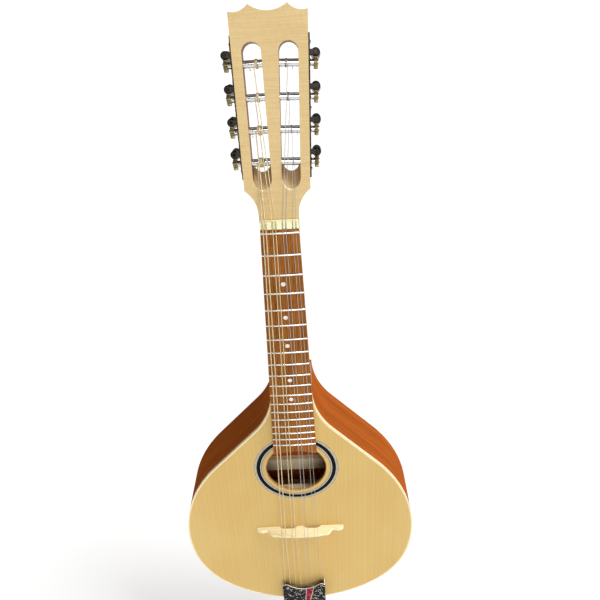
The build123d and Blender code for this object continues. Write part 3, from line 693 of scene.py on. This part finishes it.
def tuner_place(side, number):
    """A post's own axes: out along it, up the head and out of the face."""
    post = JOINTS[f"post_{side}_{number}_turn"]
    worm = JOINTS[f"button_{side}_{number}_turn"]
    out = Vector(post["axis"]).normalized()
    face = Vector(worm["axis"]).normalized()
    up = face.cross(out) * (1 if side == "right" else -1)
    turned = Matrix((out, up, face)).transposed().to_4x4()
    return Matrix.Translation(Vector(post["pos_m"])) @ turned


def dress(node, material, crease=30.0):
    """Give a CAD node its finish and even shading; its mesh stays as it is."""
    piece = NODES[node]
    piece.data.materials.clear()
    piece.data.materials.append(material)
    weld = piece.modifiers.new("Weld", "WELD")
    weld.merge_threshold = 1e-6
    split = piece.modifiers.new("Edges", "EDGE_SPLIT")
    split.split_angle = math.radians(crease)
    piece.data.shade_smooth()
    return piece


# ---------------------------------------------------------------- settings


def colour_setting(name, description, default):
    return FloatVectorProperty(
        name=name, description=description, default=default, size=3, min=0, max=1, subtype="COLOR"
    )


class MandolinWoods(bpy.types.PropertyGroup):
    """The colours of the mandolin's woods and trim."""

    spruce: colour_setting("Spruce", "The top's pale wood", (0.72, 0.51, 0.185))
    brace: colour_setting("Braces", "Raw spruce inside the body", (0.92, 0.82, 0.58))
    mahogany: colour_setting("Mahogany", "Ribs and back", (0.43, 0.104, 0.018))
    neck: colour_setting("Neck", "Neck and head core", (0.34, 0.145, 0.055))
    ramp: colour_setting("Head ramps", "Raw wood in the head's slots", (0.66, 0.46, 0.24))
    veneer: colour_setting("Head veneer", "The head's pale face", (0.72, 0.54, 0.27))
    board_light: colour_setting("Board streaks", "The board's light wood", (0.44, 0.165, 0.032))
    board_dark: colour_setting("Board ground", "The board's dark wood", (0.10, 0.028, 0.005))
    binding: colour_setting("Binding", "The bright edging of the top", (0.93, 0.80, 0.50))
    bridge: colour_setting("Bridge", "The floating bridge", (0.95, 0.86, 0.58))
    nut: colour_setting("Nut", "The grooved bar at the head", (0.95, 0.95, 0.66))


class MandolinHardware(bpy.types.PropertyGroup):
    """Sizes and colours of the strings, tuners and tailpiece."""

    gear_teeth: IntProperty(
        name="Gear teeth", description="Teeth of a post's gear", default=14, min=8, max=24
    )
    gear_radius: FloatProperty(
        name="Gear radius",
        description="Pitch radius of a post's gear",
        default=0.0043,
        min=0.003,
        max=0.006,
        unit="LENGTH",
    )
    post_radius: FloatProperty(
        name="Post radius",
        description="Radius of a string post",
        default=0.003,
        min=0.002,
        max=0.0035,
        unit="LENGTH",
    )
    turns: FloatProperty(
        name="String turns", description="Turns of a string on its post", default=4.0, min=2, max=4
    )
    tail_length: FloatProperty(
        name="String end",
        description="Length of the clipped string end beside its turns",
        default=0.007,
        min=0.0,
        max=0.010,
        unit="LENGTH",
    )
    bronze: colour_setting("Wound strings", "Bronze winding", (0.98, 0.80, 0.46))
    steel: colour_setting("Plain strings", "Bare steel", (0.50, 0.49, 0.46))
    chrome: colour_setting("Posts", "Plating of the posts", (0.70, 0.70, 0.71))
    brass: colour_setting("Gears", "Brass of the gears", (0.34, 0.265, 0.12))
    plate: colour_setting("Side plates", "Aged plating", (0.045, 0.036, 0.029))
    button: colour_setting("Buttons", "Moulded buttons", (0.012, 0.011, 0.011))
    worm: colour_setting("Worms", "Blackened brass of the worms", (0.022, 0.019, 0.017))
    cover_red: colour_setting("Cover band", "The cover's slanted band", (0.19, 0.006, 0.017))
    cover_grey: colour_setting("Cover pearl", "The cover's marbling", (0.11, 0.10, 0.10))


class MandolinStage(bpy.types.PropertyGroup):
    """Floor, lights and camera."""

    floor_drop: FloatProperty(
        name="Floor drop",
        description="How far the floor lies below the mandolin's tail",
        default=0.08,
        min=0.0,
        max=1.0,
        unit="LENGTH",
    )
    floor: colour_setting("Floor", "The pale floor", (0.60, 0.60, 0.60))
    floor_glow: FloatProperty(
        name="Floor glow", description="Light of the floor itself", default=0.52, min=0, max=1
    )
    front_light: FloatProperty(
        name="Front light", description="Strength of the light from the front", default=1.2, min=0
    )
    side_light: FloatProperty(
        name="Side light", description="Strength of the light from the right", default=2.7, min=0
    )
    sky: FloatProperty(
        name="Fill light", description="Strength of the light all round", default=0.10, min=0.01
    )
    azimuth: FloatProperty(
        name="Azimuth",
        description="The camera's turn about the upright axis",
        default=math.radians(-0.44),
        subtype="ANGLE",
    )
    elevation: FloatProperty(
        name="Elevation",
        description="How far the camera looks down",
        default=math.radians(29.02),
        subtype="ANGLE",
    )
    roll: FloatProperty(
        name="Roll",
        description="The camera's turn about its own line of sight",
        default=math.radians(-2.54),
        subtype="ANGLE",
    )
    camera_place: FloatVectorProperty(
        name="Camera place",
        description="Where the camera stands",
        default=(0.0269, -0.4625, 0.1755),
        size=3,
        subtype="TRANSLATION",
        unit="LENGTH",
    )
    lens: FloatProperty(
        name="Lens", description="Focal length", default=37.35, min=10, max=200, unit="CAMERA"
    )
    shift: FloatVectorProperty(
        name="Shift",
        description="Sideways and upright shift of the picture",
        default=(-0.0196, -0.0105),
        size=2,
    )


def hole_centre():
    """The height of the soundhole's centre, in millimetres."""
    low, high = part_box("rosette_ring")
    return (low.z + high.z) / 2 / MM


# ---------------------------------------------------------------- pieces


class MANDOLIN_OT_body(bpy.types.Operator):
    """Finish the top, ribs, back, edging, rosette and the woods inside"""

    bl_idname = "mandolin.body"
    bl_label = "Body"

    def execute(self, context):
        woods = context.scene.mandolin_woods
        hole_z = hole_centre()
        rim = (0.42, 0.20, 0.05)
        top = finish_soundboard("spruce top", tuple(woods.spruce), rim, hole_z)
        dress("soundboard", top)
        dress("edge_binding", finish_cream("edging", tuple(woods.binding), (0.3, 0.3, 0.3)))
        dress("rosette_ring", finish_black_ring("black inlay"))
        dress("rosette_purfling", finish_purfling("ring lines", hole_z))
        ribs = finish_mahogany("mahogany ribs", tuple(woods.mahogany), "rim")
        for node in ("rib_left", "rib_right"):
            dress(node, ribs)
        dress("back_plate", finish_mahogany("mahogany back", tuple(woods.mahogany)))
        inside = finish_spruce("raw spruce", tuple(woods.brace), 0.7)
        bars = finish_spruce("raw spruce bars", tuple(woods.brace), 0.7, "X")
        for node in ("top_lining", "back_lining"):
            dress(node, inside)
        for node in ("top_braces", "back_braces"):
            dress(node, bars)
        blocks = finish_mahogany("block wood", tuple(woods.neck), gloss=0.6)
        for node in ("neck_block", "tail_block"):
            dress(node, blocks)
        return {"FINISHED"}


class MANDOLIN_OT_neck(bpy.types.Operator):
    """Finish the neck, the head's pale veneer and the nut"""

    bl_idname = "mandolin.neck"
    bl_label = "Neck and head"

    def execute(self, context):
        woods = context.scene.mandolin_woods
        dress("neck", finish_neck("neck wood", tuple(woods.neck), tuple(woods.ramp)), crease=40.0)
        dress("head_faceplate", finish_maple("head veneer", tuple(woods.veneer)))
        dress("nut", finish_cream("bone nut", tuple(woods.nut), (0.05, 0.8, 0.8), 0.30))
        return {"FINISHED"}


class MANDOLIN_OT_fingerboard(bpy.types.Operator):
    """Finish the fingerboard, its frets and the pearl dots"""

    bl_idname = "mandolin.fingerboard"
    bl_label = "Fingerboard"

    def execute(self, context):
        woods = context.scene.mandolin_woods
        light, dark = tuple(woods.board_light), tuple(woods.board_dark)
        dress("fingerboard", finish_fingerboard("board wood", light, dark))
        dress("frets", finish_metal("fret wire", (0.88, 0.87, 0.84), 0.16, 0.15))
        dress("position_dots", finish_pearl("shell dots", (0.93, 0.92, 0.87)))
        return {"FINISHED"}


class MANDOLIN_OT_bridge(bpy.types.Operator):
    """Finish the floating bridge"""

    bl_idname = "mandolin.bridge"
    bl_label = "Bridge"

    def execute(self, context):
        colour = tuple(context.scene.mandolin_woods.bridge)
        dress("bridge", finish_cream("bridge wood", colour, (0.03, 0.9, 0.9), 0.40, 0.3))
        return {"FINISHED"}


class MANDOLIN_OT_tailpiece(bpy.types.Operator):
    """Finish the tailpiece, its screws and the sliding cover"""

    bl_idname = "mandolin.tailpiece"
    bl_label = "Tailpiece"

    def execute(self, context):
        hardware = context.scene.mandolin_hardware
        steel = finish_metal("plated steel", (0.74, 0.74, 0.74), 0.24, 0.35, edge=0.25)
        for node in ("tailpiece", "tailpiece_screws"):
            dress(node, steel)
        tail_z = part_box("soundboard")[0].z / MM
        grey, red = tuple(hardware.cover_grey), tuple(hardware.cover_red)
        dress("tailpiece_cover", finish_cover("cover pearl", grey, red, tail_z), crease=45.0)
        return {"FINISHED"}


class MANDOLIN_OT_strings(bpy.types.Operator):
    """Finish the eight strings and add the loops that hold them on the hooks"""

    bl_idname = "mandolin.strings"
    bl_label = "Strings"

    def execute(self, context):
        hardware = context.scene.mandolin_hardware
        bronze = finish_wound("bronze winding", tuple(hardware.bronze))
        plain = finish_metal("drawn steel", tuple(hardware.steel), 0.25, 0.2, metallic=0.7)
        for number, radius in enumerate(STRING_RADII, 1):
            node = f"string_{number}"
            dress(node, bronze if number <= WOUND_STRINGS else plain, crease=60.0)
            self.loop(node, number, radius, plain)
        return {"FINISHED"}

    def loop(self, node, number, radius, material):
        """A ring about the hook, and the collar where the wire is wrapped on itself."""
        ends = [vertex.co.copy() for vertex in NODES[node].data.vertices]
        ends.sort(key=lambda co: co.z)
        ring = [co for co in ends if co.z < ends[0].z + 2.5 * radius * MM]
        start = sum(ring, Vector()) / len(ring) / MM
        later = [co for co in ends if ends[0].z + 0.030 < co.z]
        way_to = sum(later[:12], Vector()) / len(later[:12]) / MM
        way = (way_to - start).normalized()
        hook = start - Vector((0, 0, HOOK_R + radius))
        wire = min(radius, LOOP_WIRE_R)
        eye = HOOK_R + wire + 0.06
        about = []
        for k in range(25):
            angle = math.radians(-70 + 320 * k / 24)
            about.append(hook + Vector((math.sin(angle), 0.02 * k - 0.24, -math.cos(angle))) * eye)
        loop = Shape().tube(about, wire, 8, 0.3)
        side = way.orthogonal().normalized()
        other = way.cross(side)
        collar = []
        for k in range(LOOP_WRAPS * 14 + 1):
            angle = 2 * math.pi * k / 14
            along = 1.0 + k / 14 * 2.1 * wire
            away = side * math.cos(angle) + other * math.sin(angle)
            collar.append(start + way * along + away * (radius + wire + 0.02))
        loop.tube(collar, wire, 8, 0.3)
        slot = "bronze_string" if number <= WOUND_STRINGS else "steel_string"
        loop.made(f"string_{number}_loop", "instrument", material, slot)


class MANDOLIN_OT_tuners(bpy.types.Operator):
    """Build the posts with their gears and string turns, and finish the plates, worms and buttons"""

    bl_idname = "mandolin.tuners"
    bl_label = "Tuners"

    def execute(self, context):
        hardware = context.scene.mandolin_hardware
        chrome = finish_metal("post plating", tuple(hardware.chrome), 0.07, 0.12)
        brass = finish_metal(
            "gear brass", tuple(hardware.brass), 0.26, 0.5, (0.10, 0.075, 0.035), edge=0.12
        )
        steel = finish_metal("screw steel", (0.78, 0.78, 0.77), 0.16, 0.25)
        worm = finish_metal("blackened brass", tuple(hardware.worm), 0.14, 0.3)
        plate = finish_aged_plate("aged plate", tuple(hardware.plate), (0.22, 0.18, 0.13))
        button = finish_button("button black", tuple(hardware.button))
        bronze = finish_wound("bronze turns", tuple(hardware.bronze))
        plain = finish_metal("steel turns", tuple(hardware.steel), 0.2, 0.2)
        dress("plate_screws", steel)
        for side in SIDES:
            dress(f"tuner_plate_{side}", plate)
            for number in POSTS:
                dress(f"worm_{side}_{number}", worm, crease=40.0)
                dress(f"button_{side}_{number}", button, crease=50.0)
                string = number - 1 if side == "left" else 8 - number
                wire = bronze if string < WOUND_STRINGS else plain
                self.post(side, number, STRING_RADII[string], hardware, chrome, brass, steel, wire)
        return {"FINISHED"}

    def post(self, side, number, wire_r, hardware, chrome, brass, steel, wire):
        """One post: its plated barrel, gear, screw and turns of string."""
        name = f"post_{side}_{number}"
        place = tuner_place(side, number)
        inward = place.inverted()
        local = [inward @ vertex.co / MM for vertex in NODES[name].data.vertices]
        inner_u = min(point.x for point in local)
        post_r = hardware.post_radius / MM
        wound = [point for point in local if math.hypot(point.y, point.z) > post_r + wire_r]
        sleeve = [point.x for point in wound if point.x < 0]
        turn_low, turn_high = min(sleeve), max(sleeve)
        gear_low, gear_high = GEAR_U - GEAR_T / 2, GEAR_U + GEAR_T / 2
        barrel = Shape().lathe(
            [
                (inner_u, post_r * 0.35),
                (inner_u, post_r * 0.86),
                (inner_u + 0.35, post_r),
                (1.2, post_r),
                (1.5, post_r * 0.92),
                (1.5, post_r * 0.85),
                (gear_low, post_r * 0.85),
                (gear_low, SPINDLE_R),
                (gear_high - 0.05, SPINDLE_R),
                (gear_high - 0.05, 0.5),
            ],
            56,
        )
        barrel = barrel.made(name + "_barrel", name, chrome, "chrome_post", place)
        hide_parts(name)
        self.gear(gear_low, gear_high, hardware).made(
            name + "_gear", name, brass, "chrome_post", place, 28.0
        )
        self.screw(gear_high).made(name + "_screw", name, steel, "chrome_post", place)
        turns = Shape()
        reach = post_r + wire_r
        start = math.radians(100 if side == "left" else 90)
        low, high = turn_low + wire_r, turn_high - wire_r
        turns.tube(helix(low, high, reach, hardware.turns - 1, start), wire_r * 0.98, 10, 0.3)
        tail = hardware.tail_length / MM
        if tail:
            turns.tube(self.tail(turn_high, number, post_r, tail), min(wire_r, 0.3), 8, 0.25)
        slot = "bronze_string" if wire_r > 0.3 else "steel_string"
        turns.made(name + "_turns", name, wire, slot, place)

    @staticmethod
    def gear(low, high, hardware):
        """A brass gear with chamfered teeth, a dished web and a hub."""
        count = len(TOOTH_PROFILE) * hardware.gear_teeth
        rings = [circle(low, SPINDLE_R, count), circle(low, GEAR_WEB_R, count)]
        for along, size in ((low, 0.95), (low + 0.25, 1.0), (high - 0.25, 1.0), (high, 0.95)):
            rings.append(toothed(along, size, hardware))
        for along, radius in (
            (high, GEAR_WEB_R + 0.12),
            (high - 0.3, GEAR_WEB_R),
            (high - 0.3, GEAR_HUB_R + 0.1),
            (high, GEAR_HUB_R),
            (high, SPINDLE_R),
        ):
            rings.append(circle(along, radius, count))
        return Shape().rings(rings, closed=True)

    @staticmethod
    def screw(base):
        """A domed screw head with a straight slot across it."""
        radius, foot, rise, half_slot = 2.2, 0.35, 0.65, 0.3
        shape = Shape().lathe(((base, radius), (base + foot, radius)), 40)
        for half in (1, -1):
            rings = []
            for share in (0.0, 0.25, 0.5, 0.75, 1.0):
                up = base + foot + rise * math.sin(share * math.pi / 2)
                ring = circle(up, radius * math.cos(share * math.pi / 2 * 0.78), 40)
                rings.append([(u, half * max(half * v, half_slot), w) for u, v, w in ring])
            shape.rings(rings)
        return shape

    @staticmethod
    def tail(turn_high, number, post_r, length):
        """The clipped end of a string, out of its hole beside the turns in a loose curl."""
        along = turn_high + 3.2
        lean = CURL_LEANS[number - 1]
        points = []
        for k in range(13):
            share = k / 12
            angle = 2.2 + lean + share * 1.5
            reach = post_r * 0.8 + share * 2.6 * length / 7.0
            sway = 0.8 * math.sin(share * 3.1)
            points.append((along + sway, reach * math.cos(angle), reach * math.sin(angle)))
        return points


class MANDOLIN_OT_stage(bpy.types.Operator):
    """Lay the pale floor, set the soft lights and aim the camera"""

    bl_idname = "mandolin.stage"
    bl_label = "Stage"

    def execute(self, context):
        stage = context.scene.mandolin_stage
        context.scene.view_settings.view_transform = "Standard"
        self.floor(stage)
        self.sky(context.scene, stage)
        self.lamps(context.scene, stage)
        self.camera(context.scene, stage)
        return {"FINISHED"}

    @staticmethod
    def floor(stage):
        height = CAD_BOX[0].z - stage.floor_drop
        size, steps = 40.0, 8
        points = []
        for i in range(steps + 1):
            for j in range(steps + 1):
                points.append(((i / steps - 0.5) * size, (j / steps - 0.5) * size, height))
        faces = []
        for i in range(steps):
            for j in range(steps):
                here = i * (steps + 1) + j
                faces.append((here, here + steps + 1, here + steps + 2, here + 1))
        mesh = bpy.data.meshes.new("floor")
        mesh.from_pydata(points, [], faces)
        mesh.materials.append(finish_floor("pale floor", tuple(stage.floor), stage.floor_glow))
        floor = bpy.data.objects.new("floor", mesh)
        bpy.context.scene.collection.objects.link(floor)

    @staticmethod
    def sky(scene, stage):
        """Light all round, brighter from above and dimmer at the horizon."""
        world = bpy.data.worlds.new("studio")
        world.use_nodes = True
        scene.world = world
        tree = world.node_tree
        back = tree.nodes["Background"]
        place = tree.nodes.new("ShaderNodeTexCoord")
        split = tree.nodes.new("ShaderNodeSeparateXYZ")
        ramp = tree.nodes.new("ShaderNodeValToRGB")
        path = tree.nodes.new("ShaderNodeLightPath")
        seen = tree.nodes.new("ShaderNodeMix")
        seen.data_type = "RGBA"
        lift = tree.nodes.new("ShaderNodeMapRange")
        lift.inputs["From Min"].default_value = -1.0
        levels = ((0.0, 0.5), (0.52, 0.6), (0.75, 1.2), (1.0, 1.8))
        Finish.set_stops(ramp.color_ramp, [(height, (level,) * 3) for height, level in levels])
        tree.links.new(place.outputs["Generated"], split.inputs[0])
        tree.links.new(split.outputs["Z"], lift.inputs["Value"])
        tree.links.new(lift.outputs["Result"], ramp.inputs["Fac"])
        tree.links.new(path.outputs["Is Camera Ray"], seen.inputs[0])
        tree.links.new(ramp.outputs["Color"], seen.inputs[6])
        bright = 1.02 / stage.sky
        seen.inputs[7].default_value = (bright, bright, bright, 1.0)
        tree.links.new(seen.outputs[2], back.inputs["Color"])
        back.inputs["Strength"].default_value = stage.sky

    @staticmethod
    def lamps(scene, stage):
        """Two broad lights: one from the front, one from the right and above."""
        for name, strength, way, spread in (
            ("front light", stage.front_light, (0.15, -0.90, 0.40), 28),
            ("side light", stage.side_light, (0.64, -0.14, 0.78), 30),
        ):
            light = bpy.data.lights.new(name, "SUN")
            light.energy = strength
            light.angle = math.radians(spread)
            light.color = (1.0, 0.995, 0.985)
            lamp = bpy.data.objects.new(name, light)
            lamp.rotation_mode = "QUATERNION"
            lamp.rotation_quaternion = Vector(way).to_track_quat("Z", "Y")
            lamp.location = way
            scene.collection.objects.link(lamp)

    @staticmethod
    def camera(scene, stage):
        data = bpy.data.cameras.new("camera")
        data.lens = stage.lens
        data.sensor_width = 36.0
        data.shift_x, data.shift_y = stage.shift
        data.clip_start, data.clip_end = 0.01, 100.0
        camera = bpy.data.objects.new("camera", data)
        level = Matrix.Rotation(-stage.azimuth, 3, "Z")
        tip = Matrix.Rotation(math.pi / 2 - stage.elevation, 3, "X")
        spin = Matrix.Rotation(stage.roll, 3, "Z")
        camera.rotation_mode = "QUATERNION"
        camera.rotation_quaternion = (level @ tip @ spin).to_quaternion()
        camera.location = stage.camera_place
        scene.collection.objects.link(camera)
        scene.camera = camera


STEPS = (
    MANDOLIN_OT_body,
    MANDOLIN_OT_neck,
    MANDOLIN_OT_fingerboard,
    MANDOLIN_OT_bridge,
    MANDOLIN_OT_tailpiece,
    MANDOLIN_OT_strings,
    MANDOLIN_OT_tuners,
    MANDOLIN_OT_stage,
)


class MANDOLIN_PT_panel(bpy.types.Panel):
    """Settings and steps of the mandolin"""

    bl_idname = "MANDOLIN_PT_panel"
    bl_label = "Mandolin"
    bl_space_type = "VIEW_3D"
    bl_region_type = "UI"
    bl_category = "Mandolin"

    def draw(self, context):
        scene = context.scene
        for title, group in (
            ("Woods", scene.mandolin_woods),
            ("Strings and tuners", scene.mandolin_hardware),
            ("Stage", scene.mandolin_stage),
        ):
            box = self.layout.box()
            box.label(text=title)
            for key in group.__annotations__:
                box.prop(group, key)
        for step in STEPS:
            self.layout.operator(step.bl_idname)


GROUPS = (
    ("mandolin_woods", MandolinWoods),
    ("mandolin_hardware", MandolinHardware),
    ("mandolin_stage", MandolinStage),
)


def register():
    for name, group in GROUPS:
        bpy.utils.register_class(group)
        setattr(bpy.types.Scene, name, PointerProperty(type=group))
    for step in (*STEPS, MANDOLIN_PT_panel):
        bpy.utils.register_class(step)


def unregister():
    for step in reversed((*STEPS, MANDOLIN_PT_panel)):
        bpy.utils.unregister_class(step)
    for name, group in reversed(GROUPS):
        delattr(bpy.types.Scene, name)
        bpy.utils.unregister_class(group)


def main():
    register()
    for step in STEPS:
        group, name = step.bl_idname.split(".")
        getattr(getattr(bpy.ops, group), name)()


if __name__ == "__main__":
    main()
